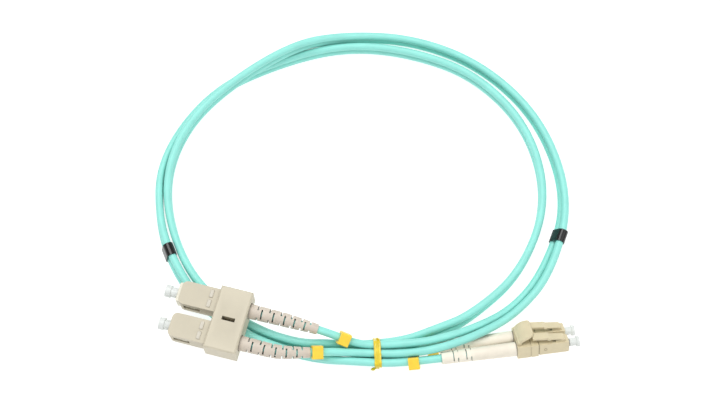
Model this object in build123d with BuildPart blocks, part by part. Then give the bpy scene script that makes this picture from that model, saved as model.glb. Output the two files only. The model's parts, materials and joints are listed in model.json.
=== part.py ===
"""Duplex fibre optic patch cord: an SC duplex plug and an LC duplex plug joined by 3 mm zip cord.

Units are millimetres and degrees. The cord lies on the plane Z = 0 in two loose turns, tied once.
The origin is on that plane, midway between the two plugs. +X runs from the SC end to the LC end.
Each plug has a plane of its own: its origin is the middle of the front face, its Z points the way
the plug is pushed in, and its X runs across the pair. Lengths along a plug are counted from the
front face, positive forwards.
"""

from build123d import *
import math
import os

os.makedirs("parts", exist_ok=True)

# Cord
STRAND_R = 1.5  # each jacketed strand
BUFFER_R = 0.45  # tight buffered fibre inside a plug
FIBRE_HOLE_R = 0.07  # the hole through a ferrule
ARC_SHARE = 0.45  # the part of a run that its corner's arc may take

# SC plugs
SC_FRONT = (-70.1, 3.9, 11.4)  # middle of the pair's front
SC_HEADING = 165.6  # the way the pair points, from +X
SC_PITCH = 12.7
SC_HOUSING_W = 9.0
SC_HOUSING_H = 7.4
SC_HOUSING = (-21.0, 1.7)
SC_HOUSING_CORNER_R = 2.0
SC_CAVITY_W = 7.5
SC_CAVITY_H = 6.2
SC_WINDOW = (-6.6, -0.4)
SC_WINDOW_H = 2.5
SC_KEY = (-11.6, -1.6)  # the key rib underneath
SC_KEY_W = 2.4
SC_KEY_H = 0.8
SC_BAR = (-10.5, -9.2)  # the two grip bars on top
SC_BAR_W = 2.9
SC_BAR_H = 0.3
SC_BAR_PITCH = 3.9
SC_CORE_PROUD = (1.0, 0.0)  # how far each plug's inner parts stand forward in their housing
SC_FRAME_W = 7.3
SC_FRAME_H = 6.0
SC_FRAME = (-17.5, 1.9)
SC_FRAME_CHAMFER = 0.4
SC_WEDGE = (-5.6, -3.6)  # the snap wedge in each side window
SC_WEDGE_W = 0.4
SC_WEDGE_H = 2.0
SC_SHOULDER = (-3.6, -2.4)  # the web inside the frame that stops the ferrule's flange
SC_MOUTH_R = 2.5
SC_WEB_R = 1.5
SC_BORE_R = 2.4
SC_FERRULE_R = 1.25
SC_FERRULE = (-4.9, 5.6)
SC_FLANGE = (-6.1, -3.7)
SC_FLANGE_R = 2.2
SC_NECK_R = 1.4
SC_NECK_REAR = -7.5
SC_TAIL_R = 0.95
SC_TAIL_REAR = -14.2
SC_SPRING = (-13.0, -6.2)
SC_SPRING_R = 1.8
SC_SPRING_WIRE_R = 0.22
SC_SPRING_TURNS = 5
SC_STOP = (-17.5, -13.2)  # the rear body's spigot inside the frame
SC_STOP_R = 2.35
SC_COLLAR = (-19.2, -17.5)
SC_COLLAR_W = 6.8
SC_COLLAR_H = 5.6
SC_POST_REAR = -25.5
SC_POST_R = 1.75
SC_POST_BORE_R = 1.05
SC_CRIMP = (-29.4, -20.2)
SC_CRIMP_R = 2.15
CRIMP_GAP = 0.1
SC_CLIP = (-24.9, -12.7)
SC_CLIP_W = 24.4
SC_CLIP_H = 10.0
SC_CLIP_REAR_WALL = 1.6
SC_CLIP_HOLE_R = 3.2
SC_CLIP_SLOT = (5.0, 1.5, 4.6)  # length, width and depth of the slot on top
SC_CLIP_PIN_R = 0.8
SC_CLIP_PIN_H = 2.4
SC_CLIP_PIN_PITCH = 7.0
SC_CLIP_CHAMFER = 0.5
SC_BOOT_FRONT = 3.9  # along the cord's route, from its end inside the plug, the other way
SC_BOOT_SECTIONS = 8
SC_BOOT_R = ((0.0, 2.85), (17.0, 2.6), (28.3, 1.95))  # radii at lengths from its front
SC_BOOT_ROLL = 24.0
SC_BOOT_SIDE_SLOTS = (1.5, 6.0, 10.3, 14.2, 18.0, 21.4)  # from the cord's end
SC_BOOT_FACE_SLOTS = (3.1, 7.6, 11.8, 15.5, 19.4)
SC_SLOT_L = 0.6
SC_SIDE_SLOT_SHARE = 0.86  # of the local diameter
SC_FACE_SLOT_SHARE = 0.68
SC_CAP_PROUD = (0.5, 0.0)  # how far each cap stands off its seat
SC_CAP = (0.2, 6.3)
SC_CAP_FLANGE_L = 2.1
SC_CAP_R = (1.95, 2.35)
SC_CAP_BORE_R = 1.28

# LC plugs
LC_FRONT = (73.55, -4.15, 5.25)
LC_HEADING = 7.4
LC_ROLL = 31.0  # the pair lies rolled, with its latches turned away from the near side
LC_PITCH = 6.25
LC_HOUSING_W = 4.5
LC_HOUSING_H = 4.7
LC_HOUSING = (-15.2, 0.0)
LC_HOUSING_CHAMFER = 0.3
LC_GROOVE = (-11.6, -11.25)  # the shadow line round the housing, in front of the clip
LC_GROOVE_DEPTH = 0.2
LC_SHOULDER = (-2.8, -2.0)
LC_MOUTH_R = 1.6
LC_WEB_R = 0.85
LC_BORE_R = 1.7
LC_FERRULE_R = 0.625
LC_FERRULE = (-4.0, 2.8)
LC_FLANGE = (-4.9, -2.9)
LC_FLANGE_R = 1.45
LC_TAIL_R = 0.8
LC_TAIL_REAR = -11.6
LC_SPRING = (-10.2, -5.0)
LC_SPRING_R = 1.2
LC_SPRING_WIRE_R = 0.17
LC_SPRING_TURNS = 5
LC_STOP = (-15.2, -10.3)
LC_STOP_R = 1.65
LC_COLLAR = (-16.4, -15.2)
LC_COLLAR_R = 2.0
LC_POST_REAR = -21.6
LC_POST_R = 1.35
LC_POST_BORE_R = 0.9
LC_CRIMP = (-27.0, -16.8)
LC_CRIMP_R = 1.85
LC_CLIP = (-19.5, -11.6)
LC_CLIP_W = 11.5
LC_CLIP_H = 5.3
LC_CLIP_UP = 0.1  # the clip's middle stands above the plugs' axes
LC_CLIP_BAND = -14.3  # the step round the clip, behind its front band
LC_CLIP_STEP_L = 0.3
LC_CLIP_STEP_DEPTH = 0.15
LC_CLIP_HOLE_R = 2.35
LC_BOOT_NECK = (-19.9, -16.6)
LC_BOOT_NECK_R = 2.3
LC_BOOT = (-47.6, -19.85)
LC_BOOT_R = (2.65, 2.3)
LC_BOOT_BORE_R = 1.95
LC_BOOT_ROLL = 30.0  # of the slots, from the pair
LC_BOOT_SIDE_SLOTS = (5.9, 10.8)  # from the boot's rear end
LC_BOOT_FACE_SLOTS = (4.2, 9.0)
LC_SLOT_L = 0.35
LC_SLOT_W = 4.1
LC_CAP_PROUD = (-0.35, 0.0)
LC_CAP = (0.5, 4.1)
LC_CAP_FLANGE_L = 1.0
LC_CAP_R = (1.5, 2.0)
LC_CAP_BORE_R = 0.655
LC_LATCH_PIVOT = (-2.2, 3.0)  # along the plug, and up from its axis
LC_LATCH_KNUCKLE_R = 0.62
LC_LATCH_W = 3.2
LC_LATCH_WING_W = 4.0
LC_LATCH_ARM = [
    (-1.7, 3.0),
    (-1.6, 3.35),
    (-1.9, 3.65),
    (-7.2, 4.3),
    (-8.2, 4.8),
    (-13.6, 5.35),
    (-13.6, 4.6),
    (-8.4, 4.0),
    (-5.0, 3.5),
    (-2.9, 3.25),
    (-2.6, 3.0),
]
LC_LATCH_WING = [(-8.2, 4.1), (-8.2, 4.6), (-7.1, 4.2), (-7.1, 3.8)]
LC_LATCH_LUG = (-4.9, -1.35)
LC_TRIGGER_PIVOT = (-18.5, 3.45)
LC_TRIGGER_KNUCKLE_R = 0.7
LC_TRIGGER_W = 9.4
PIVOT_GAP = 0.06
LC_LATCH_LUG_TOP = 3.05
LC_TRIGGER_LUG = (-19.45, -17.55)
LC_TRIGGER_LUG_TOP = 3.55
LC_TRIGGER_TOP = [(-19.0, 3.5), (-17.3, 5.5), (-13.1, 6.35)]  # three points of each arc
LC_TRIGGER_UNDER = [(-12.9, 5.7), (-16.3, 4.95), (-18.05, 3.5)]
LC_TRIGGER_CORNER_R = (2.8, 0.8)  # of the tip, on the near side and on the far side
LUG_ROOT = 0.05  # how deep a lug starts in its body

# Pieces on the cord
SLEEVE_LENGTH = 5.0
SLEEVE_WALL = 0.35
MARKER_LENGTH = 4.0
MARKER_W = 4.8
MARKER_DEPTH = (2.9, 1.65)  # from the cord's middle to the flat face and to the open side
MARKER_MOUTH = 2.2
MARKER_CORNER_R = 0.6
BOOT_FIT = 0.15
CORD_FIT = 0.08  # a piece's hole stands this far off the cord
TIE_WIDTH = 3.0
TIE_THICKNESS = 0.25
TIE_WIRE_R = 0.25
TIE_FIT = 0.12
TIE_TAIL_L = 2.4
TIE_TAIL_ROOT = 0.8
TIE_TAIL_AT = (-15.3, 2.6)
TIE_TAIL_R = (0.9, 0.6)
TIE_TAIL_ROLL = 35

# The route of each strand, from the end inside its SC plug to the end inside its LC plug.
STRAND_A = [
    (-42.76, 3.43, 11.4),
    (-30.75, 0.35, 11.4),
    (-16.0, -3.6, 9.8),
    (-3.2, -7.5, 5.1),
    (9.8, -7.1, 5.0),
    (23.5, -6.6, 8.2),
    (38.8, -1.6, 7.0),
    (54.6, 7.9, 1.8),
    (66.9, 22.5, 2.1),
    (78.2, 51.5, 2.1),
    (69.4, 86.8, 1.5),
    (47.2, 112.0, 1.5),
    (19.0, 124.6, 1.5),
    (-10.0, 124.9, 3.6),
    (-32.5, 117.6, 8.1),
    (-63.6, 93.8, 8.1),
    (-77.2, 74.0, 4.6),
    (-80.2, 52.0, 1.5),
    (-71.2, 24.9, 1.5),
    (-56.3, 8.1, 1.5),
    (-41.0, -1.6, 1.5),
    (-26.0, -6.4, 1.5),
    (-15.5, -8.8, 1.5),
    (-6.0, -9.5, 2.15),
    (12.6, -8.1, 2.15),
    (24.5, -3.55, 1.5),
    (38.4, 4.2, 1.5),
    (58.4, 22.0, 1.5),
    (70.2, 51.8, 1.5),
    (64.2, 83.8, 1.5),
    (43.8, 107.9, 1.5),
    (17.2, 118.8, 1.5),
    (-9.5, 121.6, 1.5),
    (-35.9, 114.4, 1.5),
    (-63.7, 100.2, 1.5),
    (-83.0, 70.0, 1.5),
    (-82.0, 41.0, 2.1),
    (-73.0, 19.8, 2.1),
    (-61.0, 6.6, 1.5),
    (-47.0, -3.1, 1.5),
    (-30.1, -9.3, 1.5),
    (-15.5, -12.4, 1.5),
    (-3.3, -12.4, 2.15),
    (9.9, -12.1, 2.15),
    (18.8, -8.6, 3.6),
    (28.4, -7.27, 3.64),
    (39.6, -5.8, 3.64),
    (50.8, -4.4, 3.64),
]
STRAND_B = [
    (-45.92, -8.87, 11.4),
    (-33.9, -11.95, 11.4),
    (-25.5, -11.7, 9.9),
    (-13.3, -10.7, 8.0),
    (-4.4, -10.3, 5.1),
    (11.0, -10.8, 5.1),
    (24.5, -10.4, 9.4),
    (41.0, -4.2, 8.4),
    (56.0, 5.8, 3.4),
    (69.4, 20.9, 4.9),
    (79.0, 51.5, 5.2),
    (69.8, 86.8, 4.6),
    (47.2, 112.0, 4.6),
    (19.0, 124.6, 4.6),
    (-10.0, 124.9, 6.7),
    (-32.5, 117.6, 11.2),
    (-63.6, 93.8, 11.2),
    (-77.2, 74.0, 7.7),
    (-80.2, 52.0, 4.6),
    (-71.2, 24.9, 4.6),
    (-56.3, 8.1, 4.6),
    (-41.0, -1.6, 4.6),
    (-26.0, -6.4, 4.6),
    (-15.5, -6.2, 4.2),
    (-6.0, -6.4, 2.15),
    (12.6, -4.8, 2.15),
    (24.5, -0.85, 4.3),
    (38.4, 4.6, 4.6),
    (58.4, 22.0, 4.6),
    (70.2, 51.8, 4.6),
    (64.2, 83.8, 4.6),
    (43.8, 107.9, 4.6),
    (17.2, 118.8, 4.6),
    (-9.5, 121.6, 4.6),
    (-35.9, 114.4, 4.6),
    (-63.7, 100.2, 4.6),
    (-83.0, 70.0, 4.6),
    (-81.6, 41.0, 5.2),
    (-71.6, 19.8, 5.2),
    (-60.9, 6.8, 4.6),
    (-46.8, -2.9, 4.6),
    (-30.2, -9.5, 4.6),
    (-14.5, -12.9, 4.6),
    (-1.9, -13.8, 4.9),
    (8.5, -14.2, 4.5),
    (24.5, -13.22, 6.86),
    (38.2, -11.42, 6.86),
    (51.48, -9.72, 6.86),
]
# The run, counted from 0, in whose middle each piece sits, on strand a and on strand b.
SC_SLEEVE_RUN = (8, 9)
LC_SLEEVE_RUN = (36, 37)
SC_MARKER_RUN = (2, 2)
LC_MARKER_RUN = (44, 44)
TIE_X = 3.3
# The middles, in Y and Z, of the strands that bound the bundle at the tie.
TIE_BUNDLE = [(-7.3, 5.05), (-10.55, 5.1), (-14.0, 4.7), (-5.6, 2.15), (-12.25, 2.15)]


def save(node, name):
    """Label a finished piece and write it to its own file."""
    node.part.label = name
    export_step(node.part, f"parts/{name}.step")


def pair_plane(front, heading, roll):
    """The plane of a pair of plugs: Z forwards, X across the pair, Y up before the roll."""
    angle = math.radians(heading)
    forward = Vector(math.cos(angle), math.sin(angle), 0)
    across = Vector(0, 0, 1).cross(forward).rotate(Axis((0, 0, 0), forward), -roll)
    return Plane(origin=front, x_dir=across, z_dir=forward)


def shifted(plane, across, up=0.0):
    """The same plane moved within itself."""
    origin = plane.from_local_coords((across, up, 0))
    return Plane(origin=origin, x_dir=plane.x_dir, z_dir=plane.z_dir)


def side_plane(plane):
    """The plane through a plug's axis, with X forwards and Y up."""
    return Plane(origin=plane.origin, x_dir=plane.z_dir, z_dir=plane.x_dir * -1)


def rod(plane, span, radius, mode=Mode.ADD):
    """A round bar, or a bore, along the plug."""
    with BuildSketch(plane.offset(span[0])) as section:
        Circle(radius)
    extrude(section.sketch, amount=span[1] - span[0], mode=mode)


def block(plane, span, width, height, at=(0, 0), mode=Mode.ADD):
    """A rectangular bar, or a pocket, along the plug."""
    with BuildSketch(plane.offset(span[0])) as section:
        with Locations(at):
            Rectangle(width, height)
    extrude(section.sketch, amount=span[1] - span[0], mode=mode)


def cone(plane, span, radii, mode=Mode.ADD):
    """A round bar that tapers from its rear radius to its front radius."""
    with BuildSketch(plane.offset(span[0])) as rear:
        Circle(radii[0])
    with BuildSketch(plane.offset(span[1])) as front:
        Circle(radii[1])
    loft([rear.sketch, front.sketch], mode=mode)


def coil(plane, span, radius, wire_radius, turns):
    """A compression spring along the plug."""
    height = span[1] - span[0] - 2 * wire_radius
    foot = plane.from_local_coords((0, 0, span[0] + wire_radius))
    with BuildLine() as winding:
        Helix(height / turns, height, radius, center=foot, direction=plane.z_dir)
    start = Plane(origin=winding.line @ 0, z_dir=winding.line % 0)
    with BuildSketch(start) as wire:
        Circle(wire_radius)
    sweep(wire.sketch, path=winding.line, is_frenet=True)


def corner_radii(points):
    """Each corner's radius: its arc takes ARC_SHARE of the shorter run beside it."""
    radii = []
    for before, corner, after in zip(points, points[1:], points[2:]):
        arriving = Vector(*corner) - Vector(*before)
        leaving = Vector(*after) - Vector(*corner)
        half_turn = math.radians(arriving.get_angle(leaving)) / 2
        shorter = min(arriving.length, leaving.length)
        radii.append(ARC_SHARE * shorter / math.tan(half_turn))
    return radii


def route_line(points):
    """Straight runs joined by tangent arcs."""
    with BuildLine() as line:
        FilletPolyline(*points, radius=corner_radii(points))
    return line.wire()


def mid_run(points, run):
    """The middle of a run and the way it heads."""
    start = Vector(*points[run])
    end = Vector(*points[run + 1])
    return (start + end) * 0.5, (end - start).normalized()


def along(route, distance):
    """The plane across a route at a distance from its start, with Y up."""
    where = route.position_at(distance, PositionMode.LENGTH)
    heading = route.tangent_at(distance, PositionMode.LENGTH)
    return Plane(origin=where, x_dir=Vector(0, 0, 1).cross(heading), z_dir=heading)


sc_pair = pair_plane(SC_FRONT, SC_HEADING, 0)
lc_pair = pair_plane(LC_FRONT, LC_HEADING, LC_ROLL)
SIDES = ("a", "b")  # a is the far plug of each pair, b the near one
sc_plugs = [shifted(sc_pair, side * SC_PITCH / 2) for side in (-1, 1)]
lc_plugs = [shifted(lc_pair, side * LC_PITCH / 2) for side in (1, -1)]
routes = [route_line(STRAND_A), route_line(STRAND_B)]

# The two jacketed strands.
for side, points, route in zip(SIDES, (STRAND_A, STRAND_B), routes):
    with BuildPart() as strand:
        with BuildSketch(Plane(origin=route @ 0, z_dir=route % 0)) as section:
            Circle(STRAND_R)
        sweep(section.sketch, path=route)
    save(strand, f"cord_strand_{side}")
    expected = route.length * math.pi * STRAND_R**2
    share = strand.part.volume / expected
    print(f"strand {side}: length {route.length:.1f}, volume share {share:.4f}")
    print("  radii", [round(radius) for radius in corner_radii(points)])


# SC plugs, each made of the same pieces.
def sc_outer_housing(plug):
    """The push-pull housing: a sleeve with a window each side and a key underneath."""
    block(plug, SC_HOUSING, SC_HOUSING_W, SC_HOUSING_H)
    corners = edges().filter_by(Axis((0, 0, 0), plug.y_dir))
    fillet(corners.sort_by(Axis(plug.origin, plug.z_dir))[-2:], radius=SC_HOUSING_CORNER_R)
    block(plug, SC_HOUSING, SC_CAVITY_W, SC_CAVITY_H, mode=Mode.SUBTRACT)
    block(plug, SC_WINDOW, SC_HOUSING_W + 1, SC_WINDOW_H, mode=Mode.SUBTRACT)
    block(plug, SC_KEY, SC_KEY_W, SC_KEY_H, at=(0, -(SC_HOUSING_H + SC_KEY_H) / 2))
    for across in (-SC_BAR_PITCH / 2, SC_BAR_PITCH / 2):
        block(plug, SC_BAR, SC_BAR_W, SC_BAR_H, at=(across, (SC_HOUSING_H + SC_BAR_H) / 2))


def sc_plug_frame(plug):
    """The inner frame that locks in the adapter, with a wedge in each window."""
    block(plug, SC_FRAME, SC_FRAME_W, SC_FRAME_H)
    front_face = faces().sort_by(Axis(plug.origin, plug.z_dir))[-1]
    chamfer(front_face.edges(), length=SC_FRAME_CHAMFER)
    reach = (SC_FRAME_W + SC_WEDGE_W) / 2
    for across in (-reach, reach):
        block(plug, SC_WEDGE, SC_WEDGE_W, SC_WEDGE_H, at=(across, 0))
    rod(plug, (SC_SHOULDER[1], SC_FRAME[1]), SC_MOUTH_R, mode=Mode.SUBTRACT)
    rod(plug, SC_SHOULDER, SC_WEB_R, mode=Mode.SUBTRACT)
    rod(plug, (SC_FRAME[0], SC_SHOULDER[0]), SC_BORE_R, mode=Mode.SUBTRACT)


def sc_rear_body(plug):
    """The stop that closes the frame, with the post that the crimp grips."""
    rod(plug, SC_STOP, SC_STOP_R)
    block(plug, SC_COLLAR, SC_COLLAR_W, SC_COLLAR_H)
    rod(plug, (SC_POST_REAR, SC_COLLAR[0]), SC_POST_R)
    rod(plug, (SC_POST_REAR, SC_STOP[1]), SC_POST_BORE_R, mode=Mode.SUBTRACT)


def sc_boot_radius(distance):
    """The boot's outer radius at a distance from its front."""
    for (start, first), (end, last) in zip(SC_BOOT_R, SC_BOOT_R[1:]):
        if distance <= end:
            return first + (last - first) * (distance - start) / (end - start)
    return last


def sc_boot(plug, core, points):
    """The bend relief: a slotted, tapered sleeve that follows the cord out of the plug."""
    route = route_line(points)
    root = plug.to_local_coords(route @ 0).Z
    cuff = root + SC_BOOT_FRONT
    end = SC_BOOT_R[-1][0] - SC_BOOT_FRONT
    with BuildSketch(plug.offset(cuff)) as mouth:
        Circle(sc_boot_radius(0))
    sections = [mouth.sketch]
    for step in range(1, SC_BOOT_SECTIONS + 1):
        station = end * step / SC_BOOT_SECTIONS
        with BuildSketch(along(route, station)) as section:
            Circle(sc_boot_radius(SC_BOOT_FRONT + station))
        sections.append(section.sketch)
    loft(sections, ruled=True)
    rod(core, (SC_CRIMP[0] - CRIMP_GAP, cuff), SC_CRIMP_R + CRIMP_GAP, mode=Mode.SUBTRACT)
    with BuildSketch(Plane(origin=route @ 0, z_dir=route % 0)) as section:
        Circle(STRAND_R + BOOT_FIT)
    sweep(section.sketch, path=route, mode=Mode.SUBTRACT)
    for slot in SC_BOOT_SIDE_SLOTS + SC_BOOT_FACE_SLOTS:
        diameter = 2 * sc_boot_radius(SC_BOOT_FRONT + slot)
        size = (2 * diameter, SC_SIDE_SLOT_SHARE * diameter)
        if slot in SC_BOOT_FACE_SLOTS:
            size = (SC_FACE_SLOT_SHARE * diameter, 2 * diameter)
        with BuildSketch(along(route, slot - SC_SLOT_L / 2)) as section:
            Rectangle(*size, rotation=SC_BOOT_ROLL)
        extrude(section.sketch, amount=SC_SLOT_L, mode=Mode.SUBTRACT)


for number, (side, plug, route) in enumerate(zip(SIDES, sc_plugs, routes)):
    points = (STRAND_A, STRAND_B)[number]
    core = plug.offset(SC_CORE_PROUD[number])
    with BuildPart() as housing:
        sc_outer_housing(plug)
    save(housing, f"sc_outer_housing_{side}")

    with BuildPart() as frame:
        sc_plug_frame(core)
    save(frame, f"sc_plug_frame_{side}")

    with BuildPart() as ferrule:
        rod(core, SC_FERRULE, SC_FERRULE_R)
        tip = faces().sort_by(Axis(core.origin, core.z_dir))[-1]
        chamfer(tip.edges(), length=0.25)
        rod(core, SC_FERRULE, FIBRE_HOLE_R, mode=Mode.SUBTRACT)
    save(ferrule, f"sc_ferrule_{side}")

    with BuildPart() as holder:
        rod(core, SC_FLANGE, SC_FLANGE_R)
        rod(core, (SC_NECK_REAR, SC_FLANGE[0]), SC_NECK_R)
        rod(core, (SC_TAIL_REAR, SC_NECK_REAR), SC_TAIL_R)
        rod(core, (SC_FERRULE[0], SC_FLANGE[1]), SC_FERRULE_R, mode=Mode.SUBTRACT)
        rod(core, (SC_TAIL_REAR, SC_FERRULE[0]), BUFFER_R + 0.1, mode=Mode.SUBTRACT)
    save(holder, f"sc_ferrule_holder_{side}")

    with BuildPart() as spring:
        coil(core, SC_SPRING, SC_SPRING_R, SC_SPRING_WIRE_R, SC_SPRING_TURNS)
    save(spring, f"sc_spring_{side}")

    with BuildPart() as rear_body:
        sc_rear_body(core)
    save(rear_body, f"sc_rear_body_{side}")

    strand_end = core.to_local_coords(route @ 0).Z
    with BuildPart() as crimp:
        rod(core, SC_CRIMP, SC_CRIMP_R)
        rod(core, (SC_POST_REAR, SC_CRIMP[1]), SC_POST_R, mode=Mode.SUBTRACT)
        rod(core, (SC_CRIMP[0], SC_POST_REAR), STRAND_R + CORD_FIT, mode=Mode.SUBTRACT)
    save(crimp, f"sc_crimp_sleeve_{side}")

    with BuildPart() as fibre:
        rod(core, (strand_end, SC_FERRULE[0] - 1.1), BUFFER_R)
    save(fibre, f"sc_fibre_{side}")

    with BuildPart() as boot:
        sc_boot(plug, core, points[:4])
    save(boot, f"sc_boot_{side}")

    cap_plane = core.offset(SC_CAP_PROUD[number])
    with BuildPart() as cap:
        rod(cap_plane, SC_CAP, SC_CAP_R[0])
        rod(cap_plane, (SC_CAP[1] - SC_CAP_FLANGE_L, SC_CAP[1]), SC_CAP_R[1])
        rod(core, (SC_CAP[0], SC_FERRULE[1] + 0.2), SC_CAP_BORE_R, mode=Mode.SUBTRACT)
    save(cap, f"sc_dust_cap_{side}")


# The SC duplex clip: two halves that snap together round both housings.
def sc_clip_half(up):
    """Half of the clip, above or below the plugs' middle plane."""
    half_height = SC_CLIP_H / 4 * up
    block(sc_pair, SC_CLIP, SC_CLIP_W, SC_CLIP_H / 2, at=(0, half_height))
    outer = faces().sort_by(Axis(sc_pair.origin, sc_pair.y_dir * up))[-1]
    chamfer(outer.edges(), length=SC_CLIP_CHAMFER)
    rear_wall = SC_CLIP[0] + SC_CLIP_REAR_WALL
    for plug in sc_plugs:
        block(plug, (rear_wall, SC_CLIP[1]), SC_HOUSING_W, SC_HOUSING_H, mode=Mode.SUBTRACT)
        rod(plug, (SC_CLIP[0], rear_wall), SC_CLIP_HOLE_R, mode=Mode.SUBTRACT)


middle = (SC_CLIP[0] + SC_CLIP[1]) / 2
pin_places = [middle - SC_CLIP_PIN_PITCH / 2, middle + SC_CLIP_PIN_PITCH / 2]


def sc_clip_pins(mode):
    """The snap pins in the web between the plugs."""
    top_view = Plane(origin=sc_pair.origin, x_dir=sc_pair.z_dir, z_dir=sc_pair.y_dir)
    with BuildSketch(top_view) as pins:
        with Locations(*[(place, 0) for place in pin_places]):
            Circle(SC_CLIP_PIN_R)
    extrude(pins.sketch, amount=-SC_CLIP_PIN_H, mode=mode)


with BuildPart() as clip_upper:
    sc_clip_half(1)
    slot_length, slot_width, slot_depth = SC_CLIP_SLOT
    slot_span = (middle - slot_length / 2, middle + slot_length / 2)
    slot_at = (0, (SC_CLIP_H - slot_depth) / 2)
    block(sc_pair, slot_span, slot_width, slot_depth, at=slot_at, mode=Mode.SUBTRACT)
    sc_clip_pins(Mode.ADD)
save(clip_upper, "sc_clip_upper")

with BuildPart() as clip_lower:
    sc_clip_half(-1)
    sc_clip_pins(Mode.SUBTRACT)
save(clip_lower, "sc_clip_lower")


# LC plugs.
def lug(plug, span, floor, top, width, pivot, knuckle_radius):
    """The lug that a knuckle turns in."""
    block(plug, span, width, top - floor, at=(0, (top + floor) / 2))
    with BuildSketch(side_plane(plug)) as groove:
        with Locations(pivot):
            Circle(knuckle_radius + PIVOT_GAP)
    extrude(groove.sketch, amount=width, both=True, mode=Mode.SUBTRACT)


def lc_housing(plug):
    """The body of one plug, with the lug of its latch at the front."""
    block(plug, LC_HOUSING, LC_HOUSING_W, LC_HOUSING_H)
    front_face = faces().sort_by(Axis(plug.origin, plug.z_dir))[-1]
    chamfer(front_face.edges(), length=LC_HOUSING_CHAMFER)
    with BuildSketch(plug.offset(LC_GROOVE[0])) as groove:
        Rectangle(LC_HOUSING_W, LC_HOUSING_H)
        core = 2 * LC_GROOVE_DEPTH
        Rectangle(LC_HOUSING_W - core, LC_HOUSING_H - core, mode=Mode.SUBTRACT)
    extrude(groove.sketch, amount=LC_GROOVE[1] - LC_GROOVE[0], mode=Mode.SUBTRACT)
    floor = LC_HOUSING_H / 2 - LUG_ROOT
    pivot = (LC_LATCH_PIVOT, LC_LATCH_KNUCKLE_R)
    lug(plug, LC_LATCH_LUG, floor, LC_LATCH_LUG_TOP, LC_LATCH_W, *pivot)
    rod(plug, (LC_SHOULDER[1], 0), LC_MOUTH_R, mode=Mode.SUBTRACT)
    rod(plug, LC_SHOULDER, LC_WEB_R, mode=Mode.SUBTRACT)
    rod(plug, (LC_HOUSING[0], LC_SHOULDER[0]), LC_BORE_R, mode=Mode.SUBTRACT)


def lc_latch(plug):
    """The latch arm: it rises rearwards from its knuckle to the thumb end."""
    with BuildSketch(side_plane(plug)) as arm:
        with BuildLine():
            Polyline(*LC_LATCH_ARM, close=True)
        make_face()
        with Locations(LC_LATCH_PIVOT):
            Circle(LC_LATCH_KNUCKLE_R)
    extrude(arm.sketch, amount=LC_LATCH_W / 2, both=True)
    with BuildSketch(side_plane(plug)) as hook:
        with BuildLine():
            Polyline(*LC_LATCH_WING, close=True)
        make_face()
    extrude(hook.sketch, amount=LC_LATCH_WING_W / 2, both=True)


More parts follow.
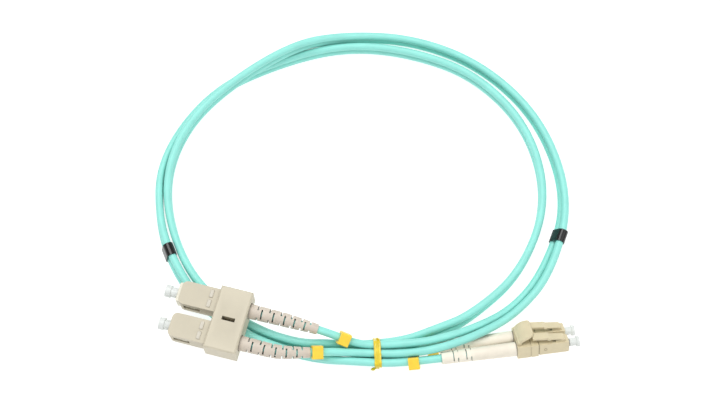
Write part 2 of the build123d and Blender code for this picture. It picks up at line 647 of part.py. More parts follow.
for number, (side, plug, route) in enumerate(zip(SIDES, lc_plugs, routes)):
    with BuildPart() as housing:
        lc_housing(plug)
    save(housing, f"lc_housing_{side}")

    with BuildPart() as latch:
        lc_latch(plug)
    save(latch, f"lc_latch_{side}")

    with BuildPart() as ferrule:
        rod(plug, LC_FERRULE, LC_FERRULE_R)
        tip = faces().sort_by(Axis(plug.origin, plug.z_dir))[-1]
        chamfer(tip.edges(), length=0.15)
        rod(plug, LC_FERRULE, FIBRE_HOLE_R, mode=Mode.SUBTRACT)
    save(ferrule, f"lc_ferrule_{side}")

    with BuildPart() as holder:
        rod(plug, LC_FLANGE, LC_FLANGE_R)
        rod(plug, (LC_TAIL_REAR, LC_FLANGE[0]), LC_TAIL_R)
        rod(plug, (LC_FERRULE[0], LC_FLANGE[1]), LC_FERRULE_R, mode=Mode.SUBTRACT)
        rod(plug, (LC_TAIL_REAR, LC_FERRULE[0]), BUFFER_R + 0.1, mode=Mode.SUBTRACT)
    save(holder, f"lc_ferrule_holder_{side}")

    with BuildPart() as spring:
        coil(plug, LC_SPRING, LC_SPRING_R, LC_SPRING_WIRE_R, LC_SPRING_TURNS)
    save(spring, f"lc_spring_{side}")

    with BuildPart() as rear_body:
        rod(plug, LC_STOP, LC_STOP_R)
        rod(plug, LC_COLLAR, LC_COLLAR_R)
        rod(plug, (LC_POST_REAR, LC_COLLAR[0]), LC_POST_R)
        rod(plug, (LC_POST_REAR, LC_STOP[1]), LC_POST_BORE_R, mode=Mode.SUBTRACT)
    save(rear_body, f"lc_rear_body_{side}")

    strand_end = plug.to_local_coords(route @ 1).Z
    with BuildPart() as crimp:
        rod(plug, LC_CRIMP, LC_CRIMP_R)
        rod(plug, (LC_POST_REAR, LC_CRIMP[1]), LC_POST_R, mode=Mode.SUBTRACT)
        rod(plug, (LC_CRIMP[0], LC_POST_REAR), STRAND_R + CORD_FIT, mode=Mode.SUBTRACT)
    save(crimp, f"lc_crimp_sleeve_{side}")

    with BuildPart() as fibre:
        rod(plug, (strand_end, LC_FERRULE[0] - 1.1), BUFFER_R)
    save(fibre, f"lc_fibre_{side}")

    with BuildPart() as boot:
        rod(plug, LC_BOOT_NECK, LC_BOOT_NECK_R)
        cone(plug, LC_BOOT, (LC_BOOT_R[1], LC_BOOT_R[0]))
        rod(plug, (LC_CRIMP[0] - 0.4, LC_BOOT_NECK[1]), LC_BOOT_BORE_R, mode=Mode.SUBTRACT)
        rod(plug, LC_BOOT, STRAND_R + BOOT_FIT, mode=Mode.SUBTRACT)
        wide = 4 * LC_BOOT_R[0]
        for slot in LC_BOOT_SIDE_SLOTS + LC_BOOT_FACE_SLOTS:
            size = (wide, LC_SLOT_W) if slot in LC_BOOT_SIDE_SLOTS else (LC_SLOT_W, wide)
            with BuildSketch(plug.offset(LC_BOOT[0] + slot)) as section:
                Rectangle(*size, rotation=LC_BOOT_ROLL)
            extrude(section.sketch, amount=LC_SLOT_L, mode=Mode.SUBTRACT)
    save(boot, f"lc_boot_{side}")

    cap_plane = plug.offset(LC_CAP_PROUD[number])
    with BuildPart() as cap:
        rod(cap_plane, LC_CAP, LC_CAP_R[0])
        rod(cap_plane, (LC_CAP[1] - LC_CAP_FLANGE_L, LC_CAP[1]), LC_CAP_R[1])
        rod(plug, (LC_CAP[0] - 1, LC_FERRULE[1] + 0.2), LC_CAP_BORE_R, mode=Mode.SUBTRACT)
    save(cap, f"lc_dust_cap_{side}")

# The LC duplex clip holds both housings side by side and carries the trigger.
with BuildPart() as lc_clip:
    block(lc_pair, LC_CLIP, LC_CLIP_W, LC_CLIP_H, at=(0, LC_CLIP_UP))
    with BuildSketch(lc_pair.offset(LC_CLIP_BAND - LC_CLIP_STEP_L)) as step:
        with Locations((0, LC_CLIP_UP)):
            Rectangle(LC_CLIP_W, LC_CLIP_H)
            inset = 2 * LC_CLIP_STEP_DEPTH
            Rectangle(LC_CLIP_W - inset, LC_CLIP_H - inset, mode=Mode.SUBTRACT)
    extrude(step.sketch, amount=LC_CLIP_STEP_L, mode=Mode.SUBTRACT)
    floor = LC_CLIP_UP + LC_CLIP_H / 2 - LUG_ROOT
    pivot = (LC_TRIGGER_PIVOT, LC_TRIGGER_KNUCKLE_R)
    lug(lc_pair, LC_TRIGGER_LUG, floor, LC_TRIGGER_LUG_TOP, LC_TRIGGER_W, *pivot)
    for plug in lc_plugs:
        front_pocket = (LC_BOOT_NECK[1], LC_CLIP[1])
        block(plug, front_pocket, LC_HOUSING_W, LC_HOUSING_H, mode=Mode.SUBTRACT)
        rod(plug, LC_BOOT_NECK, LC_CLIP_HOLE_R, mode=Mode.SUBTRACT)
save(lc_clip, "lc_duplex_clip")

with BuildPart() as trigger:
    with BuildSketch(side_plane(lc_pair)) as plate:
        with BuildLine():
            ThreePointArc(*LC_TRIGGER_TOP)
            Line(LC_TRIGGER_TOP[-1], LC_TRIGGER_UNDER[0])
            ThreePointArc(*LC_TRIGGER_UNDER)
            Line(LC_TRIGGER_UNDER[-1], LC_TRIGGER_TOP[0])
        make_face()
        with Locations(LC_TRIGGER_PIVOT):
            Circle(LC_TRIGGER_KNUCKLE_R)
    extrude(plate.sketch, amount=LC_TRIGGER_W / 2, both=True)
    tip = faces().sort_by(Axis(lc_pair.origin, lc_pair.z_dir))[-1]
    corners = tip.edges().sort_by(Axis(lc_pair.origin, lc_pair.x_dir))
    for corner, radius in zip((corners[0], corners[-1]), LC_TRIGGER_CORNER_R):
        fillet(corner, radius=radius)
save(trigger, "lc_clip_trigger")

# Shrink sleeves where the zip cord splits into single strands.
for name, runs in (("sc_split_sleeve", SC_SLEEVE_RUN), ("lc_split_sleeve", LC_SLEEVE_RUN)):
    low, heading = mid_run(STRAND_A, runs[0])
    high, _ = mid_run(STRAND_B, runs[1])
    stack = Plane(origin=(low + high) * 0.5, x_dir=high - low, z_dir=heading)
    reach = 2 * (STRAND_R + BOOT_FIT) + (high - low).length
    with BuildPart() as sleeve:
        with BuildSketch(stack.offset(-SLEEVE_LENGTH / 2)) as section:
            SlotOverall(reach + 2 * SLEEVE_WALL, 2 * (STRAND_R + BOOT_FIT + SLEEVE_WALL))
            SlotOverall(reach, 2 * (STRAND_R + BOOT_FIT), mode=Mode.SUBTRACT)
        extrude(section.sketch, amount=SLEEVE_LENGTH)
    save(sleeve, name)

# Clip-on markers: a square ring with a slit, one on each leg of the split cord.
marker_places = {
    "sc_marker_a": (STRAND_A, SC_MARKER_RUN[0], -67),
    "sc_marker_b": (STRAND_B, SC_MARKER_RUN[1], -67),
    "lc_marker_a": (STRAND_A, LC_MARKER_RUN[0], 62),
    "lc_marker_b": (STRAND_B, LC_MARKER_RUN[1], 27),
}
for name, (points, run, lean) in marker_places.items():
    where, heading = mid_run(points, run)
    level = Vector(0, 0, 1).cross(heading).normalized()
    across = level.rotate(Axis((0, 0, 0), heading), lean)
    ring = Plane(origin=where, x_dir=across, z_dir=heading)
    with BuildPart() as marker:
        with BuildSketch(ring.offset(-MARKER_LENGTH / 2)) as section:
            with Locations(((MARKER_DEPTH[1] - MARKER_DEPTH[0]) / 2, 0)):
                RectangleRounded(sum(MARKER_DEPTH), MARKER_W, MARKER_CORNER_R)
            Circle(STRAND_R + TIE_FIT, mode=Mode.SUBTRACT)
            with Locations((MARKER_DEPTH[1], 0)):
                Rectangle(2 * MARKER_DEPTH[1], MARKER_MOUTH, mode=Mode.SUBTRACT)
        extrude(section.sketch, amount=MARKER_LENGTH)
    save(marker, name)

# The twist tie: a flat strip with a wire down its middle, wrapped once round the bundle.
tie_plane = Plane(origin=(TIE_X, 0, 0), x_dir=(0, 1, 0), z_dir=(1, 0, 0))


def wrap(radius):
    """The outline of a band pulled tight round the bundle."""
    with BuildSketch(Plane.XY) as round_bundle:
        with Locations(*TIE_BUNDLE):
            Circle(radius)
        make_hull()
    return round_bundle.sketch


inner = STRAND_R + TIE_FIT
strip_outer = inner + TIE_THICKNESS
with BuildPart() as tie_strip:
    with BuildSketch(tie_plane.offset(-TIE_WIDTH / 2)) as section:
        add(wrap(strip_outer))
        add(wrap(inner), mode=Mode.SUBTRACT)
    extrude(section.sketch, amount=TIE_WIDTH)
    tail_plane = tie_plane.offset(-TIE_WIDTH / 2 - TIE_TAIL_L)
    with BuildSketch(tail_plane) as tail:
        with Locations(TIE_TAIL_AT):
            Ellipse(*TIE_TAIL_R, rotation=TIE_TAIL_ROLL)
    extrude(tail.sketch, amount=TIE_TAIL_L + TIE_TAIL_ROOT)
    with BuildSketch(tie_plane.offset(-TIE_WIDTH / 2)) as core:
        add(wrap(inner), mode=Mode.ADD)
    extrude(core.sketch, amount=TIE_WIDTH, mode=Mode.SUBTRACT)
save(tie_strip, "tie_strip")

with BuildPart() as tie_wire:
    with BuildSketch(tie_plane.offset(-TIE_WIRE_R)) as section:
        add(wrap(strip_outer + TIE_WIRE_R))
        add(wrap(strip_outer), mode=Mode.SUBTRACT)
    extrude(section.sketch, amount=2 * TIE_WIRE_R)
save(tie_wire, "tie_wire")
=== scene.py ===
"""Duplex fibre optic patch cord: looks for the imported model, in metres, in the model's own frame."""

import json
import math

import bmesh
import bpy
from mathutils import Matrix, Vector


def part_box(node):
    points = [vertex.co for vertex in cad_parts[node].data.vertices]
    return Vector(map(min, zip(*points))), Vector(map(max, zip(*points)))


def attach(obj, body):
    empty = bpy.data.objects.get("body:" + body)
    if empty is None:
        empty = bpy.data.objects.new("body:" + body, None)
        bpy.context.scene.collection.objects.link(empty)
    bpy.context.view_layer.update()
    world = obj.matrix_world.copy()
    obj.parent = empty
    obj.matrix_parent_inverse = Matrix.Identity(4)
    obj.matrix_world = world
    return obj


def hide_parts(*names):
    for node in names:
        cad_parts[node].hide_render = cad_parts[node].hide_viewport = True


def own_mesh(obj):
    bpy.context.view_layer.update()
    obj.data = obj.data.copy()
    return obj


MM = 0.001
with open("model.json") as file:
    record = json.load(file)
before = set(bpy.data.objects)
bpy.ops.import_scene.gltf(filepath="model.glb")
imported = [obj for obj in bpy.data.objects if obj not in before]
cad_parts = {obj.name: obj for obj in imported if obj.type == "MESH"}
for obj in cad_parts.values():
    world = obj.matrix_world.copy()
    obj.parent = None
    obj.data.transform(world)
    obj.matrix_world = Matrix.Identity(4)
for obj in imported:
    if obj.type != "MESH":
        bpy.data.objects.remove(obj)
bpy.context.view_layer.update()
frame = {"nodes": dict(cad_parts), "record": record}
nodes = frame["nodes"]
scene = bpy.context.scene

# ---------------------------------------------------------------- camera
TILT = math.radians(23)  # of the camera, from looking straight down
CAMERA_AT = (-0.0035, -0.14827, 0.47246)
LENS = 65
SENSOR = 36

camera_data = bpy.data.cameras.new("camera")
camera_data.lens = LENS
camera_data.sensor_width = SENSOR
camera = bpy.data.objects.new("camera", camera_data)
camera.location = CAMERA_AT
camera.rotation_euler = (TILT, 0, 0)
scene.collection.objects.link(camera)
scene.camera = camera
scene.view_settings.view_transform = "Standard"


def new_object(name, data):
    """An object for this data, in the scene."""
    obj = bpy.data.objects.new(name, data)
    scene.collection.objects.link(obj)
    return obj


def mesh_object(name, points, faces):
    """A smooth mesh object from points and faces."""
    mesh = bpy.data.meshes.new(name)
    mesh.from_pydata([tuple(p) for p in points], [], faces)
    mesh.update()
    mesh.shade_smooth()
    return new_object(name, mesh)


# ---------------------------------------------------------------- materials
PAINTED_SHADE_REACH = 1.6  # how far from a corner the painted shade reaches, in mm
PAINTED_SHADE_OPEN = (0.2, 0.75)  # how open a spot is: fully in painted shade, and free of it
PAINTED_SHADE_TONE = (1.3, 0.12)  # the painted shade's colour is the finish's, to this power, times this
WEAR_SHARP = (0.51, 0.6)  # how sharp an edge is: not worn, and fully worn
WEAR_LIFT = (1.25, 0.05)  # a worn edge is this many times as light, and this much more
MOTTLE_RANGE = (0.35, 0.65)  # the part of the noise that the colour follows
GLOSS_SWING = 0.08
BUMP_DEPTH = 0.02  # mm
MIX_FACTOR, MIX_FIRST, MIX_SECOND, MIX_COLOUR = 0, 6, 7, 2  # a colour Mix node's sockets


def blend_to(tree, share, under, over):
    """The colour under, turned to the colour over by share."""
    mix = tree.nodes.new("ShaderNodeMix")
    mix.data_type = "RGBA"
    mix.inputs[MIX_SECOND].default_value = (*over, 1)
    tree.links.new(share, mix.inputs[MIX_FACTOR])
    tree.links.new(under, mix.inputs[MIX_FIRST])
    return mix.outputs[MIX_COLOUR]


def spread(tree, value, source, target):
    """A value, moved from one range to another."""
    node = tree.nodes.new("ShaderNodeMapRange")
    for socket, number in zip(("From Min", "From Max", "To Min", "To Max"), (*source, *target)):
        node.inputs[socket].default_value = number
    tree.links.new(value, node.inputs["Value"])
    return node.outputs["Result"]


def noise(tree, size, detail):
    """Noise of a size in mm, fixed to the piece."""
    place = tree.nodes.new("ShaderNodeTexCoord")
    node = tree.nodes.new("ShaderNodeTexNoise")
    node.inputs["Scale"].default_value = 1 / (size * MM)
    node.inputs["Detail"].default_value = detail
    tree.links.new(place.outputs["Object"], node.inputs["Vector"])
    return node.outputs["Fac"]


def material(name, colour, roughness, mottle=0.05, mottle_size=4, grain=0.1, grain_size=0.12,
             wear=0.0, painted_shade=0.0, **extra):
    """A moulded finish: an uneven colour, an uneven gloss and a fine grain. Sizes are in mm.

    wear lightens the edges, and a painted shade darkens the seams and corners.
    """
    made = bpy.data.materials.new(name)
    made.use_nodes = True
    tree = made.node_tree
    shader = tree.nodes["Principled BSDF"]
    broad = noise(tree, mottle_size, 4)
    ramp = tree.nodes.new("ShaderNodeValToRGB")
    tones = [[c * (1 - mottle) for c in colour], [min(1, c * (1 + mottle)) for c in colour]]
    for stop, position, tone in zip(ramp.color_ramp.elements, MOTTLE_RANGE, tones):
        stop.position = position
        stop.color = (*tone, 1)
    tree.links.new(broad, ramp.inputs["Fac"])
    tint = ramp.outputs["Color"]
    # Painted shade: an ambient occlusion mask darkens the colour in the seams and corners, where less
    # light reaches.
    if painted_shade:
        corner = tree.nodes.new("ShaderNodeAmbientOcclusion")
        corner.samples = 8
        corner.inputs["Distance"].default_value = PAINTED_SHADE_REACH * MM
        share = spread(tree, corner.outputs["AO"], PAINTED_SHADE_OPEN, (painted_shade, 0))
        power, times = PAINTED_SHADE_TONE
        tint = blend_to(tree, share, tint, [c ** power * times for c in colour])
    if wear:
        edge = tree.nodes.new("ShaderNodeNewGeometry")
        share = spread(tree, edge.outputs["Pointiness"], WEAR_SHARP, (0, wear))
        times, more = WEAR_LIFT
        tint = blend_to(tree, share, tint, [min(1, c * times + more) for c in colour])
    tree.links.new(tint, shader.inputs["Base Color"])
    rough = (max(0, roughness - GLOSS_SWING), min(1, roughness + GLOSS_SWING))
    tree.links.new(spread(tree, broad, (0, 1), rough), shader.inputs["Roughness"])
    bump = tree.nodes.new("ShaderNodeBump")
    bump.inputs["Strength"].default_value = grain
    bump.inputs["Distance"].default_value = BUMP_DEPTH * MM
    tree.links.new(noise(tree, grain_size, 2), bump.inputs["Height"])
    tree.links.new(bump.outputs["Normal"], shader.inputs["Normal"])
    for socket, value in extra.items():
        shader.inputs[socket.replace("_", " ")].default_value = value
    return made


def linear(red, green, blue):
    """A colour as a screen shows it, 0 to 255, turned into light."""
    return [((c / 255 + 0.055) / 1.055) ** 2.4 if c > 10 else c / 3295 for c in (red, green, blue)]


# Finishes given a crevice darkening carry painted shade in their seams and corners and between the
# strands.
looks = {
    "cable_jacket": material("cable_jacket", linear(145, 225, 214), 0.45, 0.03, 6, 0.2, 0.2,
                             painted_shade=0.25),
    "black_sleeve": material("black_sleeve", linear(14, 14, 15), 0.2, 0.3, 2, 0.3, 0.6),
    "yellow_marker": material("yellow_marker", linear(248, 207, 56), 0.4, 0.05, 2, 0.1, 0.15),
    "tie_plastic": material("tie_plastic", linear(224, 200, 44), 0.3, 0.1, 1.5, 0.3, 0.3),
    "steel_wire": material("steel_wire", linear(190, 190, 185), 0.35, Metallic=1.0),
    "sc_housing_plastic": material(
        "sc_housing_plastic", linear(187, 179, 158), 0.5, 0.03, 5, 0.25, 0.1, wear=0.35,
        painted_shade=0.8),
    "sc_clip_plastic": material(
        "sc_clip_plastic", linear(194, 186, 165), 0.5, 0.03, 6, 0.25, 0.1, wear=0.35,
        painted_shade=0.9),
    # The grip bars' paler finish is a painted highlight.
    "bar_painted_highlight": material("bar_painted_highlight", linear(197, 191, 176), 0.4, 0.03, 1, 0.2, 0.1),
    "sc_frame_plastic": material("sc_frame_plastic", linear(226, 222, 205), 0.45, 0.03, 3),
    "zirconia": material("zirconia", linear(245, 245, 242), 0.12, 0.02, 2, 0.02),
    "nickel_brass": material("nickel_brass", linear(200, 196, 186), 0.3, Metallic=1.0),
    "spring_steel": material("spring_steel", linear(175, 176, 178), 0.3, Metallic=1.0),
    "stop_plastic": material("stop_plastic", linear(210, 205, 190), 0.5),
    "crimp_metal": material("crimp_metal", linear(200, 198, 190), 0.35, Metallic=1.0),
    "buffered_fibre": material("buffered_fibre", linear(240, 240, 235), 0.4),
    "sc_boot_rubber": material(
        "sc_boot_rubber", linear(204, 193, 179), 0.55, 0.04, 3, 0.3, 0.12, wear=0.3,
        painted_shade=0.8),
    "lc_boot_rubber": material(
        "lc_boot_rubber", linear(234, 226, 210), 0.5, 0.03, 3, 0.25, 0.12, wear=0.3,
        painted_shade=0.8),
    "lc_plastic": material("lc_plastic", linear(204, 192, 159), 0.4, 0.05, 3, 0.2, 0.1, wear=0.4,
                           painted_shade=0.9),
    "mark_plastic": material("mark_plastic", linear(150, 136, 104), 0.5, 0.05, 1, 0.2, 0.1),
    "cap_plastic": material(
        "cap_plastic", linear(235, 239, 236), 0.3, 0.02, 2, 0.1, 0.2, Transmission_Weight=0.18,
        IOR=1.3),
}


def finish_piece(obj, slot, body="cord", stands_for=(), look=None):
    """Give a piece its finish, its body and the CAD nodes it stands for."""
    obj.data.materials.append(looks[look or slot])
    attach(obj, body)
    if stands_for:
        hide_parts(*stands_for)


for part in frame["record"]["subparts"]:
    obj = nodes[part["node"]]
    for place in obj.material_slots:
        place.material = looks[part["material_slot"]]


EDGE_ANGLE = math.radians(28)  # a sharper edge than this is rounded
EDGES = {  # how wide an edge is rounded, in mm, on each of a pair and on the rest
    "sc_outer_housing": 0.25, "sc_plug_frame": 0.15, "sc_boot": 0.08, "lc_boot": 0.08,
    "lc_housing": 0.15, "lc_latch": 0.18, "sc_dust_cap": 0.12, "lc_dust_cap": 0.1,
    "sc_marker": 0.25, "lc_marker": 0.25,
    "sc_clip_upper": 0.35, "sc_clip_lower": 0.3, "lc_duplex_clip": 0.2, "lc_clip_trigger": 0.2,
    "sc_split_sleeve": 0.12, "lc_split_sleeve": 0.12,
}
for stem, width in EDGES.items():
    for node in {stem, f"{stem}_a", f"{stem}_b"} & set(nodes):
        bevel = nodes[node].modifiers.new("edges", "BEVEL")
        bevel.width = width * MM
        bevel.segments = 3
        bevel.limit_method = "ANGLE"
        bevel.angle_limit = EDGE_ANGLE
        bevel.harden_normals = True

# ---------------------------------------------------------------- the cord
STRAND_A = [
    (-0.04276, 0.00343, 0.0114),
    (-0.03075, 0.00035, 0.0114),
    (-0.016, -0.0036, 0.0098),
    (-0.0032, -0.0075, 0.0051),
    (0.0098, -0.0071, 0.005),
    (0.0235, -0.0066, 0.0082),
    (0.0388, -0.0016, 0.007),
    (0.0546, 0.0079, 0.0018),
    (0.0669, 0.0225, 0.0021),
    (0.0782, 0.0515, 0.0021),
    (0.0694, 0.0868, 0.0015),
    (0.0472, 0.112, 0.0015),
    (0.019, 0.1246, 0.0015),
    (-0.01, 0.1249, 0.0036),
    (-0.0325, 0.1176, 0.0081),
    (-0.0636, 0.0938, 0.0081),
    (-0.0772, 0.074, 0.0046),
    (-0.0802, 0.052, 0.0015),
    (-0.0712, 0.0249, 0.0015),
    (-0.0563, 0.0081, 0.0015),
    (-0.041, -0.0016, 0.0015),
    (-0.026, -0.0064, 0.0015),
    (-0.0155, -0.0088, 0.0015),
    (-0.006, -0.0095, 0.00215),
    (0.0126, -0.0081, 0.00215),
    (0.0245, -0.00355, 0.0015),
    (0.0384, 0.0042, 0.0015),
    (0.0584, 0.022, 0.0015),
    (0.0702, 0.0518, 0.0015),
    (0.0642, 0.0838, 0.0015),
    (0.0438, 0.1079, 0.0015),
    (0.0172, 0.1188, 0.0015),
    (-0.0095, 0.1216, 0.0015),
    (-0.0359, 0.1144, 0.0015),
    (-0.0637, 0.1002, 0.0015),
    (-0.083, 0.07, 0.0015),
    (-0.082, 0.041, 0.0021),
    (-0.073, 0.0198, 0.0021),
    (-0.061, 0.0066, 0.0015),
    (-0.047, -0.0031, 0.0015),
    (-0.0301, -0.0093, 0.0015),
    (-0.0155, -0.0124, 0.0015),
    (-0.0033, -0.0124, 0.00215),
    (0.0099, -0.0121, 0.00215),
    (0.0188, -0.0086, 0.0036),
    (0.0284, -0.00727, 0.00364),
    (0.0396, -0.0058, 0.00364),
    (0.0508, -0.0044, 0.00364),
]
STRAND_B = [
    (-0.04592, -0.00887, 0.0114),
    (-0.0339, -0.01195, 0.0114),
    (-0.0255, -0.0117, 0.0099),
    (-0.0133, -0.0107, 0.008),
    (-0.0044, -0.0103, 0.0051),
    (0.011, -0.0108, 0.0051),
    (0.0245, -0.0104, 0.0094),
    (0.041, -0.0042, 0.0084),
    (0.056, 0.0058, 0.0034),
    (0.0694, 0.0209, 0.0049),
    (0.079, 0.0515, 0.0052),
    (0.0698, 0.0868, 0.0046),
    (0.0472, 0.112, 0.0046),
    (0.019, 0.1246, 0.0046),
    (-0.01, 0.1249, 0.0067),
    (-0.0325, 0.1176, 0.0112),
    (-0.0636, 0.0938, 0.0112),
    (-0.0772, 0.074, 0.0077),
    (-0.0802, 0.052, 0.0046),
    (-0.0712, 0.0249, 0.0046),
    (-0.0563, 0.0081, 0.0046),
    (-0.041, -0.0016, 0.0046),
    (-0.026, -0.0064, 0.0046),
    (-0.0155, -0.0062, 0.0042),
    (-0.006, -0.0064, 0.00215),
    (0.0126, -0.0048, 0.00215),
    (0.0245, -0.00085, 0.0043),
    (0.0384, 0.0046, 0.0046),
    (0.0584, 0.022, 0.0046),
    (0.0702, 0.0518, 0.0046),
    (0.0642, 0.0838, 0.0046),
    (0.0438, 0.1079, 0.0046),
    (0.0172, 0.1188, 0.0046),
    (-0.0095, 0.1216, 0.0046),
    (-0.0359, 0.1144, 0.0046),
    (-0.0637, 0.1002, 0.0046),
    (-0.083, 0.07, 0.0046),
    (-0.0816, 0.041, 0.0052),
    (-0.0716, 0.0198, 0.0052),
    (-0.0609, 0.0068, 0.0046),
    (-0.0468, -0.0029, 0.0046),
    (-0.0302, -0.0095, 0.0046),
    (-0.0145, -0.0129, 0.0046),
    (-0.0019, -0.0138, 0.0049),
    (0.0085, -0.0142, 0.0045),
    (0.0245, -0.01322, 0.00686),
    (0.0382, -0.01142, 0.00686),
    (0.05148, -0.00972, 0.00686),
]
STRAND_R = 1.5 * MM


def route_curve(name, points):
    """A smooth curve with these control points."""
    data = bpy.data.curves.new(name, "CURVE")
    data.dimensions = "3D"
    data.resolution_u = 10
    spline = data.splines.new("NURBS")
    spline.points.add(len(points) - 1)
    for control, point in zip(spline.points, points):
        control.co = (*point, 1)
    spline.order_u = 3
    spline.use_endpoint_u = True
    return data


def line_of(points):
    """Points along the smooth curve, close together."""
    bare = bpy.data.objects.new("line", route_curve("line", points))
    mesh = bpy.data.meshes.new_from_object(bare)
    line = [v.co.copy() for v in mesh.vertices]
    bpy.data.objects.remove(bare)
    bpy.data.meshes.remove(mesh)
    return line


def run_length(line):
    """The length of a line of points."""
    return sum((b - a).length for a, b in zip(line, line[1:]))


lines = {"a": line_of(STRAND_A), "b": line_of(STRAND_B)}


def centre(node):
    """The middle of a CAD node's box."""
    low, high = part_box(node)
    return (Vector(low) + Vector(high)) / 2


def nearest(line, point):
    """The index of the line's point that is nearest to a point."""
    return min(range(len(line)), key=lambda i: (line[i] - point).length_squared)


def tube_faces(stations, ring, closed=False):
    """Faces that join rings of points into a tube, with its ends filled unless it is closed."""
    count = stations if closed else stations - 1
    faces = []
    for i in range(count):
        for j in range(ring):
            here, there = i * ring, (i + 1) % stations * ring
            after = (j + 1) % ring
            faces.append((here + j, here + after, there + after, there + j))
    if not closed:
        faces.append(tuple(reversed(range(ring))))
        faces.append(tuple(range((stations - 1) * ring, stations * ring)))
    return faces


# The web of jacket between the strands, from one split to the other.
WEB_HALF = 0.4 * MM
WEB_SPAN = (0.3, 0.7)  # from one strand's line to the other's
ends = [centre("sc_split_sleeve"), centre("lc_split_sleeve")]
first, last = (nearest(lines["a"], end) for end in ends)
first_b, last_b = (nearest(lines["b"], end) for end in ends)
upper = lines["b"][first_b:last_b + 1]
points = []
for i in range(first, last + 1):
    here = lines["a"][i]
    there = upper[nearest(upper, here)]
    across = there - here
    heading = lines["a"][i + 1] - lines["a"][i - 1]
    side = across.cross(heading).normalized() * WEB_HALF
    low, high = (here + across * share for share in WEB_SPAN)
    points += [low - side, low + side, high + side, high - side]
WEB_CORNERS = 4
web = mesh_object("web", points, tube_faces(len(points) // WEB_CORNERS, WEB_CORNERS))
finish_piece(web, "cable_jacket")

# The twist tie: a thin film with a wire down its middle, pulled round the bundle and twisted.
TIE_X = 3.3 * MM
TIE_HALF = 1.3 * MM
TIE_LEAN = 0.055
BUNDLE = [(-7.3, 5.05), (-10.55, 5.1), (-14.0, 4.7), (-5.6, 2.15), (-12.25, 2.15)]
TIE_GAP = 0.1 * MM  # between the bundle and the tie
TIE_FILM = (0.04, 0.16)  # the film's inside and outside, from there, in mm
TIE_RIB = (0.26, 0.22)  # the wire's rise in mm, and its share of the half width
TIE_CURL = 0.1
STATIONS = 120
PROFILE = 17
ARC_STEPS = 72


def wrapped(radius):
    """The closed outline of a band pulled round the bundle, evenly divided."""
    cloud = []
    for y, z in BUNDLE:
        for step in range(ARC_STEPS):
            turn = math.tau * step / ARC_STEPS
            cloud.append((y * MM + radius * math.cos(turn), z * MM + radius * math.sin(turn)))
    cloud.sort()
    hull = []
    for row in (cloud, cloud[::-1]):
        chain = []
        for p in row:
            while len(chain) > 1:
                (ay, az), (by, bz) = chain[-2], chain[-1]
                if (by - ay) * (p[1] - az) - (bz - az) * (p[0] - ay) > 0:
                    break
                chain.pop()
            chain.append(p)
        hull += chain[:-1]
    loop = [Vector((0, *p)) for p in hull + hull[:1]]
    total = run_length(loop)
    even, walked, i = [], 0.0, 0
    for step in range(STATIONS):
        goal = total * step / STATIONS
        while walked + (loop[i + 1] - loop[i]).length < goal:
            walked += (loop[i + 1] - loop[i]).length
            i += 1
        even.append(loop[i].lerp(loop[i + 1], (goal - walked) / (loop[i + 1] - loop[i]).length))
    return even


def ripple(a, b):
    """A small smooth unevenness."""
    return 0.5 * math.sin(3.1 * a + 1.7 * b) + 0.5 * math.sin(7.3 * a - 2.9 * b + 1)


band = wrapped(STRAND_R + TIE_GAP)
points = []
for i, at in enumerate(band):
    tangent = (band[(i + 1) % STATIONS] - band[i - 1]).normalized()
    outward = Vector((0, tangent.z, -tangent.y))
    lean = TIE_LEAN * (at.y - band[0].y)
    ring = []
    for j in range(PROFILE):
        u = 2 * j / (PROFILE - 1) - 1
        rib = TIE_RIB[0] * math.exp(-((u / TIE_RIB[1]) ** 2))
        curl = TIE_CURL * u ** 4 * (1 + ripple(i / 9, u))
        reach = u * TIE_HALF * (1 + 0.05 * ripple(i / 7, 1))
        ring.append((reach, (TIE_FILM[1] + rib + curl) * MM))
    for j in range(PROFILE):
        u = 1 - 2 * j / (PROFILE - 1)
        ring.append((u * TIE_HALF * 0.97, TIE_FILM[0] * MM))
    points += [Vector((TIE_X - lean + u, at.y, at.z)) + outward * h for u, h in ring]
tie = mesh_object("tie", points, tube_faces(STATIONS, 2 * PROFILE, closed=True))
finish_piece(tie, "tie_plastic", stands_for=["tie_strip", "tie_wire"])


TWIST_HALF = (0.62, 0.3)  # the twisted ends, across and through, in mm
TWIST_STEPS = 26
TWIST_RING = 20


def twist(name, start, end, turns):
    """The two ends of the tie wound round each other."""
    start, end = Vector(start) * MM, Vector(end) * MM
    along = (end - start).normalized()
    side = along.cross(Vector((0, 0, 1))).normalized()
    up = side.cross(along)
    points = []
    for i in range(TWIST_STEPS):
        share = i / (TWIST_STEPS - 1)
        turn = math.tau * turns * share
        taper = min(1, 6 * (1 - share) + 0.3)
        for j in range(TWIST_RING):
            angle = math.tau * j / TWIST_RING
            wide = TWIST_HALF[0] * math.cos(angle) * taper
            thin = TWIST_HALF[1] * math.sin(angle) * taper
            x = wide * math.cos(turn) - thin * math.sin(turn)
            y = wide * math.sin(turn) + thin * math.cos(turn)
            points.append(start.lerp(end, share) + (side * x + up * y) * MM)
    piece = mesh_object(name, points, tube_faces(TWIST_STEPS, TWIST_RING))
    finish_piece(piece, "tie_plastic")


twist("tie_tail", (3.6, -15.0, 2.5), (0.5, -15.9, 1.6), 0.8)
twist("tie_stub", (3.1, -5.6, 5.3), (3.0, -4.7, 6.0), 0.25)
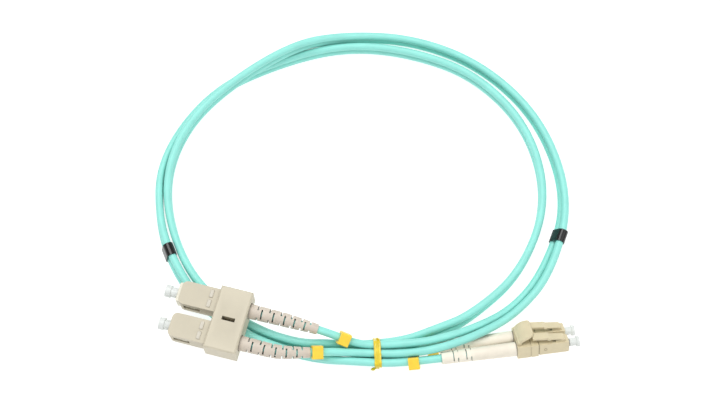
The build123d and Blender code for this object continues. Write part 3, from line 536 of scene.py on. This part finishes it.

# The grip bars on top of the SC housings, paler than the rest: a painted highlight for the light their
# tops catch.
SC_FRONT = Vector((-70.1, 3.9, 11.4)) * MM
SC_HEADING = math.radians(165.6)
SC_PITCH = 12.7
BAR_ALONG = -9.85
BAR_PITCH = 3.9
BAR_SIZE = (1.4, 3.0, 0.4)  # along the plug, across it and up
BAR_FOOT = 3.64  # above the plug's axis
BAR_ROUND = 0.12
turned = Matrix.Translation(SC_FRONT) @ Matrix.Rotation(SC_HEADING, 4, "Z")
for side, plug in (("a", -1), ("b", 1)):
    for number, bar in enumerate((-1, 1)):
        across = (plug * SC_PITCH + bar * BAR_PITCH) / 2
        shape = bmesh.new()
        bmesh.ops.create_cube(shape, size=1)
        for vertex in shape.verts:
            vertex.co = [c * size for c, size in zip(vertex.co, BAR_SIZE)]
        bmesh.ops.bevel(shape, geom=shape.edges[:], offset=BAR_ROUND, segments=3, affect="EDGES",
                        profile=0.5)
        middle = Vector((BAR_ALONG, across, BAR_FOOT + BAR_SIZE[2] / 2))
        for vertex in shape.verts:
            vertex.co = turned @ ((vertex.co + middle) * MM)
        mesh = bpy.data.meshes.new(f"grip_bar_{side}_{number}")
        shape.to_mesh(mesh)
        shape.free()
        mesh.shade_smooth()
        bar_object = new_object(f"grip_bar_{side}_{number}", mesh)
        finish_piece(bar_object, "sc_housing_plastic", body="sc_grip", look="bar_painted_highlight")

# A round mould mark on the near side of the near LC housing.
LC_FRONT = Vector((73.55, -4.15, 5.25)) * MM
LC_HEADING = math.radians(7.4)
LC_ROLL = math.radians(31)
MARK_AT = (-8.9, 5.375)  # back from the plug's front, and out from the pair's middle
MARK_R = (0.5, 0.09)
MARK_STEPS = (40, 12)
forward = Vector((math.cos(LC_HEADING), math.sin(LC_HEADING), 0))
outward = Matrix.Rotation(-LC_ROLL, 3, forward) @ forward.cross(Vector((0, 0, 1)))
upward = outward.cross(forward)
points = []
for i in range(MARK_STEPS[0]):
    around = math.tau * i / MARK_STEPS[0]
    spoke = forward * math.cos(around) + upward * math.sin(around)
    for j in range(MARK_STEPS[1]):
        turn = math.tau * j / MARK_STEPS[1]
        reach = spoke * (MARK_R[0] + MARK_R[1] * math.cos(turn))
        points.append(reach + outward * (MARK_R[1] * math.sin(turn) + MARK_AT[1]))
middle = LC_FRONT + forward * MARK_AT[0] * MM
mark = mesh_object(
    "mould_mark", [middle + p * MM for p in points], tube_faces(*MARK_STEPS, closed=True))
finish_piece(mark, "lc_plastic", look="mark_plastic")

# The springs: each CAD spring is copied into a coil of its own that stands for it.
for joint in frame["record"]["behaviour"]["joints"]:
    if "ferrule_slide" not in joint["name"]:
        continue
    node = joint["name"].replace("ferrule_slide", "spring")
    mesh = nodes[node].data.copy()
    mesh.materials.clear()
    spring = new_object(node.replace("spring", "coil"), mesh)
    finish_piece(spring, "spring_steel", stands_for=[node])
    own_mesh(spring)

# The strands.
for side, points in (("a", STRAND_A), ("b", STRAND_B)):
    data = route_curve(f"strand_{side}", points)
    data.bevel_depth = STRAND_R
    data.bevel_resolution = 8
    data.use_fill_caps = True
    strand = new_object(f"strand_{side}", data)
    finish_piece(strand, "cable_jacket", stands_for=[f"cord_strand_{side}"])

# ---------------------------------------------------------------- floor and light
FLOOR_HALF = 3.0
FLOOR_DROP = 0.2 * MM
FLOOR_TONE = (0.45, 0.45, 0.45)
WORLD_LIGHT = 0.47
LAMPS = {  # place, size and watts
    "key": ((-0.3, 0.45, 1.2), 0.9, 11),
    "fill": ((0.8, -0.2, 1.1), 1.2, 5),
    "front": ((0, -0.9, 1.0), 1.0, 2),
}
LAMP_AIM = Vector((0, 0.05, 0))
floor = mesh_object(
    "floor",
    [(x * FLOOR_HALF, y * FLOOR_HALF, -FLOOR_DROP)
     for x, y in ((-1, -1), (1, -1), (1, 1), (-1, 1))],
    [(0, 1, 2, 3)],
)
floor.data.materials.append(
    material("floor", FLOOR_TONE, 0.8, 0.01, 300, 0.05, 2, Emission_Strength=0.78,
             Emission_Color=(1, 1, 1, 1)))

for name, (at, size, watts) in LAMPS.items():
    data = bpy.data.lights.new(name, "AREA")
    data.size = size
    data.energy = watts
    light = new_object(name, data)
    light.location = at
    light.rotation_euler = (LAMP_AIM - Vector(at)).to_track_quat("-Z", "Y").to_euler()

world = bpy.data.worlds.new("studio")
world.use_nodes = True
sky = world.node_tree.nodes["Background"]
sky.inputs["Color"].default_value = (1, 1, 1, 1)
sky.inputs["Strength"].default_value = WORLD_LIGHT
scene.world = world
